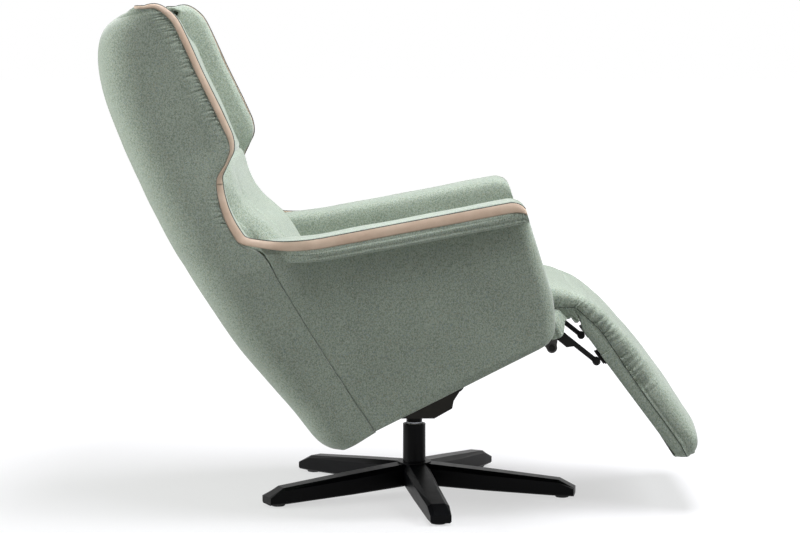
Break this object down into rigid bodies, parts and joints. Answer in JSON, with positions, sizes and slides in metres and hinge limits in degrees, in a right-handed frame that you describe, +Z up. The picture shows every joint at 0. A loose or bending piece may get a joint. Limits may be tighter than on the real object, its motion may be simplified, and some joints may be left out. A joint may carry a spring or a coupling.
{
  "type": "recliner",
  "caption": "Swivel relaxing chair with a tilting winged seat shell, leather-trimmed wings and arms, a raised leg rest and a star base.",
  "frame": {"origin": "on the floor, on the axis of the swivel column, at the centre of the star base", "axes": "+X the way the chair faces, along its length with the leg rest out; +Y to the sitter's left; +Z up"},
  "size_m": [1.207, 0.7478, 1.0155],
  "materials": {
    "base_black": "satin",
    "glide_black": "matte",
    "bush_plastic": "matte",
    "zinc_steel": "satin",
    "spindle_black": "satin",
    "bracket_dark": "satin",
    "frame_dark": "satin",
    "arm_black": "satin",
    "motor_black": "matte",
    "webbing_dark": "matte",
    "birch_ply": "matte",
    "wool_green": "matte",
    "board_wool": "matte",
    "leather_tan": "satin"
  },
  "bodies": {
    "base": {"star_base": "base_black", "floor_glides": "glide_black", "column_tube": "base_black", "column_bushes": "bush_plastic"},
    "swivel": {"thrust_ring": "zinc_steel", "swivel_spindle": "spindle_black", "spindle_clip": "zinc_steel", "swivel_bracket": "bracket_dark", "spindle_nut": "zinc_steel", "recline_pin": "zinc_steel", "recline_pin_clips": "zinc_steel", "recline_rod_pin": "zinc_steel"},
    "chair": {"recline_motor_pin": "zinc_steel", "tilt_ears": "bracket_dark", "tilt_bushes": "bush_plastic", "seat_rail_left": "frame_dark", "seat_rail_right": "frame_dark", "cross_tube_front": "frame_dark", "cross_tube_middle": "frame_dark", "cross_tube_rear": "frame_dark", "seat_webbing": "webbing_dark", "back_upright_left": "frame_dark", "back_upright_right": "frame_dark", "back_top_rail": "frame_dark", "back_webbing": "webbing_dark", "side_frame_left": "birch_ply", "side_frame_right": "birch_ply", "frame_bolts": "zinc_steel", "back_shell": "wool_green", "side_panel_left": "wool_green", "side_panel_right": "wool_green", "arm_pad_left": "wool_green", "arm_pad_right": "wool_green", "arm_lining_left": "wool_green", "arm_lining_right": "wool_green", "wing_pad_left": "wool_green", "wing_pad_right": "wool_green", "wing_trim": "leather_tan", "arm_trim_left": "leather_tan", "arm_trim_right": "leather_tan", "seat_cushion": "wool_green", "back_cushion": "wool_green", "hinge_plates": "frame_dark", "hinge_bushes": "bush_plastic", "stop_bar": "arm_black", "legrest_motor": "motor_black", "knee_bridge": "wool_green"},
    "recline_drive": {"recline_motor": "motor_black"},
    "recline_ram": {"recline_rod": "zinc_steel"},
    "legrest_swing": {"torque_tube": "frame_dark", "swing_arm_left": "arm_black", "swing_arm_right": "arm_black", "knuckle_bolts": "arm_black", "slide_bars": "arm_black"},
    "legrest": {"slide_channels": "arm_black", "legrest_board": "board_wool", "board_screws": "zinc_steel", "legrest_pad": "wool_green"}
  },
  "joints": [
    {"name": "swivel", "type": "hinge", "parent": "base", "child": "swivel", "pos_m": [0, 0, 0.1], "axis": [0, 0, 1], "continuous": true},
    {"name": "recline", "type": "hinge", "parent": "swivel", "child": "chair", "pos_m": [0.085, 0, 0.235], "axis": [0, 1, 0], "range_deg": [0, 15]},
    {"name": "legrest_raise", "type": "hinge", "parent": "chair", "child": "legrest_swing", "pos_m": [0.26938, 0, 0.37758], "axis": [0, -1, 0], "range_deg": [-15, 40], "deforming": ["knee_bridge"]},
    {"name": "legrest_slide", "type": "slide", "parent": "legrest_swing", "child": "legrest", "axis": [0.599, 0, -0.8007], "range_m": [-0.076, 0.001]},
    {"name": "recline_drive_turn", "type": "hinge", "parent": "chair", "child": "recline_drive", "pos_m": [-0.19021, 0, 0.19956], "axis": [0, 1, 0], "range_deg": [-1, 9]},
    {"name": "recline_ram_slide", "type": "slide", "parent": "recline_drive", "child": "recline_ram", "axis": [0.9975, 0, -0.0703], "range_m": [-0.001, 0.02]}
  ],
  "couplings": [
    {"joint": "legrest_slide", "follows": "recline", "m_per_rad": -0.28648},
    {"joint": "recline_drive_turn", "follows": "recline", "ratio": 0.56},
    {"joint": "recline_ram_slide", "follows": "recline", "m_per_rad": 0.072}
  ]
}
